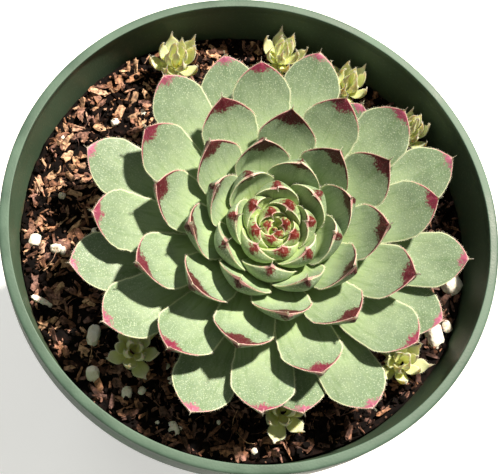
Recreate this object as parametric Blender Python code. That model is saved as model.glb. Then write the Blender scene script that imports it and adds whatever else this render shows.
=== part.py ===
# A houseleek rosette with young offsets, growing in a round plastic nursery pot.
# Metres, +Z up, origin at the centre of the pot's underside.
import math

import bpy
from mathutils import Vector, noise

# Pot
POT_HEIGHT = 0.088
RIM_RADIUS = 0.051          # outside of the rim band
BASE_RADIUS = 0.038         # outside of the wall at the underside
POT_WALL = 0.0012
FLOOR_THICKNESS = 0.0016
BAND_HEIGHT = 0.009         # the stepped band under the lip
BAND_STEP = 0.0015          # how far the band stands out from the wall
LIP_WIDTH = 0.002
LIP_DEPTH = 0.0025
EDGE_ROUNDING = 0.0005
DRAIN_HOLES = 6
DRAIN_RADIUS = 0.004
DRAIN_CIRCLE = 0.026
DRAIN_TURN = 0.43           # where the first hole sits, as a share of the step between holes
POT_SEGMENTS = 64

# Soil
SOIL_BELOW_RIM = 0.013
SOIL_RELIEF = 0.0012        # hollows between the crumbs
SOIL_HEAP = 0.0012          # how far the soil rises at the wall, on average
SOIL_HEAP_SWING = 0.0014    # it's heaped on two opposite sides, and hollow between them
SOIL_HEAP_AZIMUTH = 128.0   # of one heaped side
SOIL_SEGMENTS = 40
SOIL_RINGS = 8
CRUMBS_PER_METRE = 160.0
SOIL_SEED = Vector((3.7, 1.9, 8.2))

# Gaps that stay open between neighbours
SOIL_GAP = 0.0004
STEM_GAP = 0.0007
LEAF_WALL_GAP = 0.0025

# Where the plant stands: its axis is off the pot's axis
PLANT_X = 0.0040
PLANT_Y = -0.0015

# Stem: a short dome that carries the leaves, with a tapering root below
STEM_RADIUS = 0.008
STEM_RISE = 0.0052          # from the lowest leaf bases to the top of the dome
STEM_COLLAR = 0.0028        # height of the lowest leaf bases above the soil
NECK_RADIUS = 0.0055
ROOT_DEPTH = 0.022
ROOT_TIP_RADIUS = 0.0012
ROOT_WAIST = 0.55           # share of the root's depth where it is halfway to its tip
SHOULDER_DEPTH = 0.12       # share of the root's depth where the neck starts
STEM_SEGMENTS = 24
DOME_RINGS = 7

# Rosette: each leaf is a golden angle on from the one before, youngest first
GOLDEN_ANGLE = 137.5
FIRST_AZIMUTH = 77.9
LEAF_COUNT = 64
BUD_LEAVES = 15             # the youngest leaves, still closed round each other
BUD_ROOTING = 0.55          # bud leaves start this share of the way out to the dome's face
BUD_CORE_RISE = 0.0009      # and this far above it, in the middle of the bud's core
BUD_GAP = 0.0006            # between the core and the stem's dome, besides STEM_GAP
BUD_CORE_SPREAD = 0.78      # the core's radius as a share of where its oldest leaf starts
WIDEST_WRAP = 1.15          # radians that half a leaf may wrap round the plant's axis
MIDDLE_AGE = 40
MIDDLE_REACH = 0.0305       # plan distance from the plant's axis to the tip at middle age
REACH_GROWTH = 1.18         # above 1 the young tips crowd towards the heart
LONGEST_REACH = 0.0430
REACH_SOFTNESS = 0.003      # how gently the reach levels off at its longest
LEAF_WIDTH = 0.0128
LEAF_WIDTH_AGE = 8.0        # leaves of age until the width has mostly grown
OLDEST_BOW = 0.07           # how far a leaf bows down from the line from base to tip
YOUNGEST_BOW = 0.38
POINT_LENGTH = 1.2          # from the widest place to the tip, in half widths
BROADEST_RANGE = (0.55, 0.78)    # the widest place stays within these shares of the length
SHOULDER_SHAPE = 1.8        # higher gives squarer shoulders
YOUNG_POINT = 1.0           # lower gives a blunter point
OLD_POINT = 0.64
POINT_AGES = (34, 50)       # between these ages the point turns from young to old
SWELL_SHAPE = 1.6           # higher keeps the leaf narrow for longer
BASE_WIDTH = 0.46           # width at the stem as a share of the widest
BASE_FULLNESS = 0.55        # thickness at the stem as a share of the fullest
LEAF_THICKNESS = 0.0016
TIP_FULLNESS = 0.5          # thickness at the tip as a share of the fullest
UPPER_SHARE = 0.25          # of the thickness lies above the leaf's centre line, the rest below
FIRST_BASE_SLOPE = 8.0      # degrees round the dome from its top to where the first leaf starts
BASE_SLOPE_SPAN = 84.0      # and on from there to the last leaf
BASE_SLOPE_SHAPE = 0.8
TIP_HEIGHT_HEART = 0.0100
TIP_HEIGHT_MIDDLE = 0.0175
TIP_HEIGHT_OUTSIDE = 0.0095
TIP_HEIGHT_PEAK = 0.42      # age, as a share of the oldest, where tips stand highest
FALL_SHAPE = 1.6            # above 1 the tips sink faster towards the outside
SHORTER_LEAVES = {60: 0.95, 61: 0.92, 63: 0.84, 64: 0.9}
LEAF_ROWS = (0.0, 0.3, 0.55, 0.75, 0.88, 0.96, 1.0)    # shares of the length, base to tip
LEAF_COLUMNS = 5
BUD_LEAF_ROWS = (0.0, 0.4, 0.75, 1.0)
BUD_LEAF_COLUMNS = 3

# Offsets: young rosettes round the mother, each on a runner over the soil
OFFSETS = [
    # x, y from the pot's axis, radius, height
    (-0.0172, 0.0380, 0.0056, 0.0084),
    (0.0066, 0.0415, 0.0055, 0.0084),
    (0.0218, 0.0358, 0.0054, 0.0084),
    (0.0353, 0.0249, 0.0047, 0.0095),
    (0.0311, -0.0271, 0.0052, 0.0058),
    (0.0066, -0.0373, 0.0060, 0.0056),
    (-0.0236, -0.0260, 0.0055, 0.0059),
]
OFFSET_LEAVES = 8
OFFSET_SEGMENTS = 10
OFFSET_CORE = [             # radius and height as shares of the offset's own
    (0.0, 0.0), (0.35, 0.05), (0.42, 0.35), (0.2, 0.7), (0.0, 0.8)]
OFFSET_TURN = 40.0          # degrees from one offset's first leaf to the next one's
OFFSET_CLIMB = (12.0, 68.0) # degrees: the lowest leaf's climb, and how much steeper the first is
OFFSET_ROOTING = 0.3        # height where the leaves start, as a share of the offset's height
OFFSET_LOWEST_TIP = 0.25
OFFSET_BELLY = 0.55         # share of a leaf's length where it is fullest
OFFSET_LEAF_WIDTH = 0.3     # half width and half thickness as shares of the radius
OFFSET_LEAF_THICKNESS = 0.15
OFFSET_STANDING = 0.0004    # gap between an offset and the soil
RUNNER_RADIUS = 0.0008
RUNNER_HEIGHT = 0.0014
RUNNER_GAP = 0.0012         # from the runner's end to the stem


def clear_scene():
    for item in list(bpy.data.objects):
        bpy.data.objects.remove(item, do_unlink=True)


def plain_material(name, colour, roughness):
    material = bpy.data.materials.new(name)
    material.use_nodes = True
    shader = material.node_tree.nodes["Principled BSDF"]
    shader.inputs["Base Color"].default_value = (*colour, 1.0)
    shader.inputs["Roughness"].default_value = roughness
    shader.inputs["Metallic"].default_value = 0.0
    return material


def mesh_object(name, points, faces, material):
    mesh = bpy.data.meshes.new(name)
    mesh.from_pydata([tuple(point) for point in points], [], faces)
    mesh.materials.append(material)
    mesh.validate()
    item = bpy.data.objects.new(name, mesh)
    bpy.context.collection.objects.link(item)
    mesh.shade_smooth()
    mesh.set_sharp_from_angle(angle=math.radians(40))
    return item


def ring_solid(name, rings, bottom, top, material):
    """Close a stack of equal rings with a fan to the point below and the point above."""
    count = len(rings[0])
    points = [bottom] + [point for ring in rings for point in ring] + [top]
    faces = []
    for j in range(count):
        following = (j + 1) % count
        faces.append((0, 1 + following, 1 + j))
        for i in range(len(rings) - 1):
            low = 1 + i * count
            high = low + count
            faces.append((low + j, low + following, high + following, high + j))
        last = 1 + (len(rings) - 1) * count
        faces.append((last + j, last + following, len(points) - 1))
    return mesh_object(name, points, faces, material)


def turned_solid(name, profile, centre, segments, material):
    """Turn a profile of (radius, height) about the upright line through centre."""
    rings = []
    for radius, height in profile[1:-1]:
        ring = []
        for j in range(segments):
            angle = 2 * math.pi * j / segments
            ring.append((centre[0] + radius * math.cos(angle),
                         centre[1] + radius * math.sin(angle), height))
        rings.append(ring)
    bottom = (centre[0], centre[1], profile[0][1])
    top = (centre[0], centre[1], profile[-1][1])
    return ring_solid(name, rings, bottom, top, material)


def soil_level():
    return POT_HEIGHT - SOIL_BELOW_RIM


def wall_radius(height):
    """Outside radius of the tapered pot wall."""
    slope = (RIM_RADIUS - BAND_STEP - BASE_RADIUS) / (POT_HEIGHT - BAND_HEIGHT)
    return BASE_RADIUS + slope * height


def inner_radius(height):
    return wall_radius(height) - POT_WALL


def distance_to_wall(azimuth, radius):
    """How far the circle of this radius about the pot's axis is from the plant's axis."""
    along = PLANT_X * math.cos(azimuth) + PLANT_Y * math.sin(azimuth)
    offset = PLANT_X ** 2 + PLANT_Y ** 2
    return -along + math.sqrt(along ** 2 - offset + radius ** 2)


def make_pot(material):
    band_bottom = POT_HEIGHT - BAND_HEIGHT
    lip_bottom = POT_HEIGHT - LIP_DEPTH
    profile = [
        (0.0, 0.0),
        (BASE_RADIUS - EDGE_ROUNDING, 0.0),
        (wall_radius(EDGE_ROUNDING), EDGE_ROUNDING),
        (wall_radius(band_bottom), band_bottom),
        (RIM_RADIUS - EDGE_ROUNDING, band_bottom),
        (RIM_RADIUS, band_bottom + EDGE_ROUNDING),
        (RIM_RADIUS, POT_HEIGHT - EDGE_ROUNDING),
        (RIM_RADIUS - EDGE_ROUNDING, POT_HEIGHT),
        (RIM_RADIUS - LIP_WIDTH + EDGE_ROUNDING, POT_HEIGHT),
        (RIM_RADIUS - LIP_WIDTH, POT_HEIGHT - EDGE_ROUNDING),
        (inner_radius(lip_bottom), lip_bottom),
        (inner_radius(FLOOR_THICKNESS), FLOOR_THICKNESS),
        (0.0, FLOOR_THICKNESS),
    ]
    pot = turned_solid("pot", profile, (0.0, 0.0), POT_SEGMENTS, material)
    for i in range(DRAIN_HOLES):
        angle = 2 * math.pi * (i + DRAIN_TURN) / DRAIN_HOLES
        place = (DRAIN_CIRCLE * math.cos(angle), DRAIN_CIRCLE * math.sin(angle), 0.0)
        bpy.ops.mesh.primitive_cylinder_add(vertices=16, radius=DRAIN_RADIUS,
                                            depth=4 * FLOOR_THICKNESS, location=place)
        cutter = bpy.context.object
        cutter.name = f"drain_cutter_{i + 1}"
        cutter.hide_render = True
        cutter.display_type = "WIRE"
        cut = pot.modifiers.new(cutter.name, "BOOLEAN")
        cut.operation = "DIFFERENCE"
        cut.solver = "EXACT"
        cut.object = cutter
    return pot


def root_profile(growth):
    """Root and neck below the leaves, made larger by growth; heights from the soil."""
    return [
        (ROOT_TIP_RADIUS + growth, -ROOT_DEPTH - growth),
        (0.5 * (ROOT_TIP_RADIUS + NECK_RADIUS) + growth, -ROOT_WAIST * ROOT_DEPTH),
        (NECK_RADIUS + growth, -SHOULDER_DEPTH * ROOT_DEPTH),
    ]


def make_stem(material):
    level = soil_level()
    profile = [(0.0, level - ROOT_DEPTH)]
    profile += [(radius, level + height) for radius, height in root_profile(0.0)]
    profile.append((NECK_RADIUS, level + 0.3 * STEM_COLLAR))
    dome_radius = STEM_RADIUS - STEM_GAP
    dome_rise = STEM_RISE - STEM_GAP
    for i in range(DOME_RINGS):
        angle = 0.5 * math.pi * i / DOME_RINGS
        profile.append((dome_radius * math.cos(angle),
                        level + STEM_COLLAR + dome_rise * math.sin(angle)))
    profile.append((0.0, level + STEM_COLLAR + dome_rise))
    return turned_solid("stem", profile, (PLANT_X, PLANT_Y), STEM_SEGMENTS, material)


def soil_rise(x, y):
    """The soil's gentle heap towards the wall, above its level in the middle."""
    share = math.hypot(x, y) / inner_radius(soil_level())
    swing = math.cos(2.0 * (math.atan2(y, x) - math.radians(SOIL_HEAP_AZIMUTH)))
    return (SOIL_HEAP + SOIL_HEAP_SWING * swing) * min(1.0, share) ** 3


def soil_height(x, y):
    """Crumbly top: the heap less hollows from smooth noise."""
    crumbs = noise.fractal(Vector((x, y, 0.0)) * CRUMBS_PER_METRE + SOIL_SEED, 0.7, 2.0, 3)
    return soil_rise(x, y) - SOIL_RELIEF * (0.5 + 0.5 * max(-1.0, min(1.0, crumbs)))


def make_soil(material):
    level = soil_level()
    floor = FLOOR_THICKNESS + SOIL_GAP
    rings = []
    underside = []
    angles = []
    for j in range(SOIL_SEGMENTS):
        angle = 2 * math.pi * j / SOIL_SEGMENTS
        direction = Vector((math.cos(angle), math.sin(angle), 0.0))
        reach = distance_to_wall(angle, inner_radius(floor) - SOIL_GAP)
        edge = Vector((PLANT_X, PLANT_Y, floor)) + direction * reach
        underside.append(edge)
        angles.append(angle)
    rings.append(underside)
    for share in [1.0] + [i / SOIL_RINGS for i in range(SOIL_RINGS - 1, -1, -1)]:
        ring = []
        for angle in angles:
            inside = NECK_RADIUS + SOIL_GAP
            outside = distance_to_wall(angle, inner_radius(level - SOIL_RELIEF) - SOIL_GAP)
            radius = inside + (outside - inside) * share
            x = PLANT_X + radius * math.cos(angle)
            y = PLANT_Y + radius * math.sin(angle)
            ring.append((x, y, level + soil_height(x, y)))
        rings.append(ring)
    for radius, height in reversed(root_profile(SOIL_GAP)):
        ring = []
        for angle in angles:
            ring.append((PLANT_X + radius * math.cos(angle),
                         PLANT_Y + radius * math.sin(angle), level + height))
        rings.append(ring)
    bottom = (PLANT_X, PLANT_Y, floor)
    pocket = (PLANT_X, PLANT_Y, level - ROOT_DEPTH - SOIL_GAP)
    return ring_solid("soil", rings, bottom, pocket, material)


def leaf_reach(age):
    """Plan distance from the plant's axis to the tip: grows with age, then levels off."""
    free = MIDDLE_REACH * (age / MIDDLE_AGE) ** REACH_GROWTH
    either = math.exp(-free / REACH_SOFTNESS) + math.exp(-LONGEST_REACH / REACH_SOFTNESS)
    return -REACH_SOFTNESS * math.log(either) * SHORTER_LEAVES.get(age, 1.0)


def tip_height(age):
    """Height of a tip above the soil: low in the heart, highest at mid age, then falling."""
    share = age / LEAF_COUNT
    shorter = SHORTER_LEAVES.get(age, 1.0)
    if share < TIP_HEIGHT_PEAK:
        rise = math.sin(0.5 * math.pi * share / TIP_HEIGHT_PEAK)
        return TIP_HEIGHT_HEART + (TIP_HEIGHT_MIDDLE - TIP_HEIGHT_HEART) * rise
    fall = (share - TIP_HEIGHT_PEAK) / (1.0 - TIP_HEIGHT_PEAK)
    drop = TIP_HEIGHT_MIDDLE - TIP_HEIGHT_OUTSIDE
    return (TIP_HEIGHT_MIDDLE - drop * fall ** FALL_SHAPE) * math.sqrt(shorter)


def leaf_base(age):
    """Where a leaf leaves the stem's dome: old leaves low, young ones near the top."""
    slope = math.radians(FIRST_BASE_SLOPE + BASE_SLOPE_SPAN * (age / LEAF_COUNT) ** BASE_SLOPE_SHAPE)
    return (STEM_RADIUS * math.sin(slope), STEM_COLLAR + STEM_RISE * math.cos(slope))


def leaf_azimuth(age):
    return math.radians(FIRST_AZIMUTH - GOLDEN_ANGLE * age)


def leaf_outline(age, along, broadest):
    """Half width as a share of the widest: narrow base, broad shoulders, short point."""
    if along < broadest:
        swell = math.sin(0.5 * math.pi * along / broadest) ** SWELL_SHAPE
        return BASE_WIDTH + (1.0 - BASE_WIDTH) * swell
    out = (along - broadest) / (1.0 - broadest)
    first, last = POINT_AGES
    turned = min(1.0, max(0.0, (age - first) / (last - first)))
    point = YOUNG_POINT + (OLD_POINT - YOUNG_POINT) * turned
    return max(0.0, 1.0 - out ** SHOULDER_SHAPE) ** point


def leaf_fullness(along, broadest):
    """Thickness as a share of the fullest: flat at the stem, fullest in the blade."""
    swell = math.sin(0.5 * math.pi * min(1.0, along / broadest)) ** 2
    fullness = BASE_FULLNESS + (1.0 - BASE_FULLNESS) * swell
    return fullness * (1.0 - (1.0 - TIP_FULLNESS) * along ** 6)


def leaf_centre_line(age, rows):
    """Bowed line in the leaf's upright plane, from the stem, or the bud's core, to the tip."""
    start = leaf_base(age)
    if age <= BUD_LEAVES:
        start = (BUD_ROOTING * start[0], start[1] + BUD_CORE_RISE)
    azimuth = leaf_azimuth(age)
    tip_z = tip_height(age)
    inside = inner_radius(soil_level() + tip_z)
    reach = min(leaf_reach(age), distance_to_wall(azimuth, inside) - LEAF_WALL_GAP)
    run = reach - start[0]
    rise = tip_z - start[1]
    bow = OLDEST_BOW + (YOUNGEST_BOW - OLDEST_BOW) * (1.0 - age / LEAF_COUNT) ** 2
    middle = (start[0] + 0.5 * run + bow * rise, start[1] + 0.5 * rise - bow * run)
    points = []
    for t in rows:
        radius = (1 - t) ** 2 * start[0] + 2 * t * (1 - t) * middle[0] + t ** 2 * reach
        height = (1 - t) ** 2 * start[1] + 2 * t * (1 - t) * middle[1] + t ** 2 * tip_z
        slope_r = 2 * (1 - t) * (middle[0] - start[0]) + 2 * t * (reach - middle[0])
        slope_z = 2 * (1 - t) * (middle[1] - start[1]) + 2 * t * (tip_z - middle[1])
        length = math.hypot(slope_r, slope_z)
        points.append((radius, height, -slope_z / length, slope_r / length, t))
    return points


def leaf_mesh(age, rows, columns):
    """Points and faces of one fleshy leaf, wrapped about the plant's axis."""
    azimuth = leaf_azimuth(age)
    half_width = 0.5 * LEAF_WIDTH * (1.0 - math.exp(-(age + 2.0) / LEAF_WIDTH_AGE))
    level = soil_level()
    upper = []
    lower = []
    line = leaf_centre_line(age, rows)
    length = math.hypot(line[-1][0] - line[0][0], line[-1][1] - line[0][1])
    broadest = 1.0 - POINT_LENGTH * half_width / length
    broadest = min(BROADEST_RANGE[1], max(BROADEST_RANGE[0], broadest))
    for radius, height, out_r, out_z, t in line:
        half = half_width * leaf_outline(age, t, broadest)
        thick = min(LEAF_THICKNESS * leaf_fullness(t, broadest), 0.9 * half)
        for j in range(columns):
            across = 2.0 * j / (columns - 1) - 1.0
            turn = azimuth + across * min(half / radius, WIDEST_WRAP)
            belly = 1.0 - across ** 2
            for side, share in ((upper, UPPER_SHARE), (lower, UPPER_SHARE - 1.0)):
                r = radius + out_r * share * thick * belly
                z = height + out_z * share * thick * belly
                side.append((PLANT_X + r * math.cos(turn),
                             PLANT_Y + r * math.sin(turn), level + z))
    return close_leaf(upper, lower, len(rows), columns)


def close_leaf(upper, lower, rows, columns):
    """Join the two faces of a leaf along its edges; the tip row is one point."""
    points = []
    place = {}

    def number(side, i, j):
        on_edge = j in (0, columns - 1)
        key = ("tip",) if i == rows - 1 else ("edge", i, j) if on_edge else (side, i, j)
        if key not in place:
            source = upper if side == "upper" else lower
            place[key] = len(points)
            points.append(source[i * columns + j])
        return place[key]

    faces = []
    for i in range(rows - 1):
        for j in range(columns - 1):
            for side, turned in (("upper", True), ("lower", False)):
                corners = [number(side, i, j), number(side, i, j + 1),
                           number(side, i + 1, j + 1), number(side, i + 1, j)]
                corners = list(dict.fromkeys(corners))
                faces.append(tuple(reversed(corners)) if turned else tuple(corners))
    base = [number("upper", 0, j) for j in range(columns)]
    base += [number("lower", 0, j) for j in range(columns - 2, 0, -1)]
    faces.append(tuple(base))
    return points, faces


def make_leaf(age, material):
    points, faces = leaf_mesh(age, LEAF_ROWS, LEAF_COLUMNS)
    return mesh_object(f"leaf_{age:02d}", points, faces, material)


def join_by_union(item, helpers):
    """Fuse the helper solids into item, and keep the helpers as guides only."""
    for helper in helpers:
        helper.hide_render = True
        helper.display_type = "WIRE"
        fuse = item.modifiers.new(helper.name, "BOOLEAN")
        fuse.operation = "UNION"
        fuse.solver = "EXACT"
        fuse.object = helper
    return item


def make_bud(material):
    """The youngest leaves, closed round each other on the top of the stem."""
    level = soil_level()
    profile = [(0.0, level + STEM_COLLAR + STEM_RISE)]
    for age in (BUD_LEAVES / 3, 2 * BUD_LEAVES / 3, BUD_LEAVES):
        radius, height = leaf_base(age)
        profile.append((BUD_CORE_SPREAD * radius, level + height + BUD_GAP))
    for age in (BUD_LEAVES, 2 * BUD_LEAVES / 3, BUD_LEAVES / 3):
        radius, height = leaf_base(age)
        profile.append((0.9 * BUD_CORE_SPREAD * radius, level + height + 2.0 * BUD_CORE_RISE))
    profile.append((0.0, level + STEM_COLLAR + STEM_RISE + 2.0 * BUD_CORE_RISE))
    bud = turned_solid("crown_bud", profile, (PLANT_X, PLANT_Y), 16, material)
    helpers = []
    for age in range(1, BUD_LEAVES + 1):
        points, faces = leaf_mesh(age, BUD_LEAF_ROWS, BUD_LEAF_COLUMNS)
        helpers.append(mesh_object(f"bud_leaf_{age:02d}", points, faces, material))
    return join_by_union(bud, helpers)


def make_offset(number, place, material):
    """A tuft of small pointed leaves round a core, with its runner to the mother."""
    x, y, radius, height = place
    ground = soil_level() + max(0.0, soil_rise(x, y)) + OFFSET_STANDING
    core = [(across * radius, ground + up * height) for across, up in OFFSET_CORE]
    item = turned_solid(f"offset_{number}", core, (x, y), OFFSET_SEGMENTS, material)
    helpers = []
    for k in range(OFFSET_LEAVES):
        turn = math.radians(GOLDEN_ANGLE * k + OFFSET_TURN * number)
        climb = math.radians(OFFSET_CLIMB[0] + OFFSET_CLIMB[1] * (1.0 - k / OFFSET_LEAVES))
        tip_out = radius * math.cos(climb) ** 0.6
        tip_up = max(OFFSET_LOWEST_TIP, math.sin(climb)) * height
        start = Vector((x, y, ground + OFFSET_ROOTING * height))
        out = Vector((math.cos(turn), math.sin(turn), 0.0))
        side = Vector((-math.sin(turn), math.cos(turn), 0.0))
        tip = Vector((x, y, ground + tip_up)) + out * tip_out
        ahead = (tip - start).normalized()
        across = side * OFFSET_LEAF_WIDTH * radius
        lift = side.cross(ahead) * OFFSET_LEAF_THICKNESS * radius
        belly = start.lerp(tip, OFFSET_BELLY)
        points = [start + across * 0.6, start + lift, start - across * 0.6, start - lift,
                  belly + across, belly + lift, belly - across, belly - lift, tip]
        faces = [(3, 2, 1, 0), (0, 1, 5, 4), (1, 2, 6, 5), (2, 3, 7, 6), (3, 0, 4, 7),
                 (4, 5, 8), (5, 6, 8), (6, 7, 8), (7, 4, 8)]
        leaf = mesh_object(f"offset_{number}_leaf_{k + 1}", points, faces, material)
        helpers.append(leaf)
    helpers.append(make_runner(number, x, y, radius, ground, material))
    return join_by_union(item, helpers)


def make_runner(number, x, y, radius, ground, material):
    """A thin tapering shoot along the soil, from the offset towards the stem."""
    back = Vector((PLANT_X - x, PLANT_Y - y, 0.0))
    length = back.length - STEM_RADIUS - RUNNER_GAP
    back.normalize()
    side = Vector((-back.y, back.x, 0.0))
    up = Vector((0.0, 0.0, 1.0))
    first = Vector((x, y, ground + RUNNER_HEIGHT))
    last = Vector((x, y, soil_level() + RUNNER_HEIGHT)) + back * length
    rings = []
    for t, thickness in ((0.0, 1.0), (0.35, 0.9), (0.7, 0.85), (1.0, 0.8)):
        centre = first.lerp(last, t)
        ring = []
        for j in range(6):
            angle = 2 * math.pi * j / 6
            spoke = side * math.cos(angle) + up * math.sin(angle)
            ring.append(centre + spoke * RUNNER_RADIUS * thickness)
        rings.append(ring)
    return ring_solid(f"runner_{number}", rings, first, last, material)


def main():
    clear_scene()
    plastic = plain_material("pot_plastic", (0.055, 0.085, 0.055), 0.45)
    peat = plain_material("potting_soil", (0.035, 0.02, 0.012), 0.95)
    flesh = plain_material("leaf_flesh", (0.23, 0.33, 0.15), 0.5)
    young = plain_material("young_leaf", (0.42, 0.52, 0.22), 0.5)
    bark = plain_material("stem_bark", (0.2, 0.18, 0.1), 0.8)
    make_pot(plastic)
    make_soil(peat)
    make_stem(bark)
    make_bud(flesh)
    for age in range(BUD_LEAVES + 1, LEAF_COUNT + 1):
        make_leaf(age, flesh)
    for number, place in enumerate(OFFSETS, start=1):
        make_offset(number, place, young)


main()
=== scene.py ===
import math

import bpy
import numpy as np
from mathutils import Matrix, Vector


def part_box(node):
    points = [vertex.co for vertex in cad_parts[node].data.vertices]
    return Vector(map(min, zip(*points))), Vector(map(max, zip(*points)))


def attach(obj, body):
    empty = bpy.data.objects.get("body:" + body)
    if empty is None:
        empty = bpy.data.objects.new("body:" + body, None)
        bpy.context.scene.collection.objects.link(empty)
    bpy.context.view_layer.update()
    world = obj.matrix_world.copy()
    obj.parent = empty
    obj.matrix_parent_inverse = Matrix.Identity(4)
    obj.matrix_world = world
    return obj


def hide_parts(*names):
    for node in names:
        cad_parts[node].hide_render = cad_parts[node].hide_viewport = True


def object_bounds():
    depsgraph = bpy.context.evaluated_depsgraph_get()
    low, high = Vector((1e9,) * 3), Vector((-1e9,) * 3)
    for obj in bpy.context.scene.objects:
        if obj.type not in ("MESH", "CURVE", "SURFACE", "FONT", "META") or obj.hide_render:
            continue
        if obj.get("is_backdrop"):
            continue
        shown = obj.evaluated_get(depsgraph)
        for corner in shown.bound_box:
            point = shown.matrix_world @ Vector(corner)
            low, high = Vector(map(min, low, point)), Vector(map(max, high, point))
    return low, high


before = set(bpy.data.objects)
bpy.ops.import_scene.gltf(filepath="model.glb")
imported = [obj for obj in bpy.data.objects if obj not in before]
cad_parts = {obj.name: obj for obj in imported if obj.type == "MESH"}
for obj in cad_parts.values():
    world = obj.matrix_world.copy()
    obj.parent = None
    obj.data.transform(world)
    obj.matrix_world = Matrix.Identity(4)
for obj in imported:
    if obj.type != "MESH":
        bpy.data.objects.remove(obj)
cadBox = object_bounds()

mm = 0.001
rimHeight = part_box("pot")[1].z
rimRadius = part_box("pot")[1].x
stemLow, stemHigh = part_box("stem")
plantX = 0.5 * (stemLow.x + stemHigh.x)
plantY = 0.5 * (stemLow.y + stemHigh.y)
goldenAngle = 137.5
fullTurn = 2.0 * math.pi
noiseTable = (97, 89)             # random numbers that a noise draws from before it repeats


def linear(hexColour):
    # sRGB channel c to linear: c / 12.92 when dark, else ((c + 0.055) / 1.055) to the power 2.4
    channels = [int(hexColour[i:i + 2], 16) / 255.0 for i in (1, 3, 5)]
    return tuple(c / 12.92 if c <= 0.04045 else ((c + 0.055) / 1.055) ** 2.4 for c in channels) + (1.0,)


def addNode(tree, kind, values, output=None):
    # adds one shader node. Capital or numbered names are inputs and the rest are the node's own settings;
    # a socket is linked and a hex colour turned linear. A mix is always of colours. Gives the output named,
    # or the first that is in use
    node = tree.nodes.new("ShaderNode" + kind)
    if kind == "Mix":
        node.data_type = "RGBA"
    for name, value in values.items():
        if name == "stops":
            ramp = node.color_ramp
            while len(ramp.elements) > 1:
                ramp.elements.remove(ramp.elements[-1])
            ramp.elements[0].position, ramp.elements[0].color = value[0][0], linear(value[0][1])
            for place, colour in value[1:]:
                ramp.elements.new(place).color = linear(colour)
        elif isinstance(value, bpy.types.NodeSocket):
            tree.links.new(value, node.inputs[name])
        elif isinstance(name, int) or name[0].isupper():
            node.inputs[name].default_value = linear(value) if isinstance(value, str) else value
        else:
            setattr(node, name, value)
    return node.outputs[output] if output else next(socket for socket in node.outputs if socket.enabled)


def newMaterial(name, constants):
    # what is the same all over the surface stands on the shader's own sockets
    material = bpy.data.materials.new(name)
    material.use_nodes = True
    shader = material.node_tree.nodes["Principled BSDF"]
    for socket, value in constants.items():
        shader.inputs[socket].default_value = linear(value) if isinstance(value, str) else value
    return material, material.node_tree, shader


def joinShader(tree, shader, sources):
    # patterns that change over the surface go into the shader's sockets, each by its name
    for socket, source in sources.items():
        tree.links.new(source, shader.inputs[socket])


def smoothStep(value, low, high):
    # 3t^2 - 2t^3 with t the share of the way from low to high, held between 0 and 1
    t = np.clip((value - low) / (high - low), 0.0, 1.0)
    return t * t * (3.0 - 2.0 * t)


def latticeNoise(x, y, cell, seed):
    # smooth value noise, -1 to 1: random corner heights of square cells, blended by smooth steps
    columns, rows = noiseTable
    table = np.random.default_rng(seed).uniform(-1.0, 1.0, noiseTable)
    u, v = x / cell, y / cell
    i, j = np.floor(u).astype(int), np.floor(v).astype(int)
    a, b = smoothStep(u - i, 0.0, 1.0), smoothStep(v - j, 0.0, 1.0)
    corner = lambda p, q: table[(i + p) % columns, (j + q) % rows]
    low = corner(0, 0) * (1 - a) + corner(1, 0) * a
    high = corner(0, 1) * (1 - a) + corner(1, 1) * a
    return low * (1 - b) + high * b


def crumbNoise(x, y, cell, seed):
    # domes round jittered points, one to a cell: the root of 1 - (distance / reach)^2, highest wins
    columns, rows = noiseTable
    table = np.random.default_rng(seed).uniform(0.0, 1.0, (3, columns, rows))
    u, v = x / cell, y / cell
    i, j = np.floor(u).astype(int), np.floor(v).astype(int)
    best = np.zeros(np.broadcast(u, v).shape)
    for p in (-1, 0, 1):
        for q in (-1, 0, 1):
            jx, jy, size = (layer[(i + p) % columns, (j + q) % rows] for layer in table)
            away = np.hypot(u - (i + p + jx), v - (j + q + jy)) / (0.45 + 0.4 * size)
            best = np.maximum(best, np.sqrt(np.clip(1.0 - away ** 2, 0.0, 1.0)) * (0.35 + 0.65 * size))
    return best


def gridFaces(rows, columns, first):
    # quads of a grid that is closed round its columns, with a fan to a pole before and after it
    i, j = np.meshgrid(np.arange(rows - 1), np.arange(columns), indexing="ij")
    k = (j + 1) % columns
    quads = np.stack([i * columns + j, i * columns + k, (i + 1) * columns + k, (i + 1) * columns + j], -1)
    j = np.arange(columns)
    k = (j + 1) % columns
    pole, last = first + rows * columns, first + (rows - 1) * columns
    before = np.stack([k + first, j + first, np.full(columns, pole)], -1)
    after = np.stack([j + last, k + last, np.full(columns, pole + 1)], -1)
    return (quads.reshape(-1, 4) + first).tolist() + before.tolist() + after.tolist()


def surfacePiece(name, grids, material, fields=()):
    # one mesh from closed grids; each grid is a dictionary of "points" and fields of one number a point
    points, faces, values, count = [], [], {field: [] for field in fields}, 0
    for grid in grids:
        rows, columns = grid["points"].shape[:2]
        flat = grid["points"].reshape(-1, 3)
        ends = np.array([grid["points"][0].mean(0), grid["points"][-1].mean(0)])
        points += [flat, ends]
        faces += gridFaces(rows, columns, count)
        for field in fields:
            value = np.broadcast_to(grid[field], (rows, columns))
            values[field] += [value.ravel(), np.array([value[0].mean(), value[-1].mean()])]
        count += len(flat) + 2
    return meshPiece(name, np.concatenate(points), faces, material,
                     {field: np.concatenate(value) for field, value in values.items()})


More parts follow.
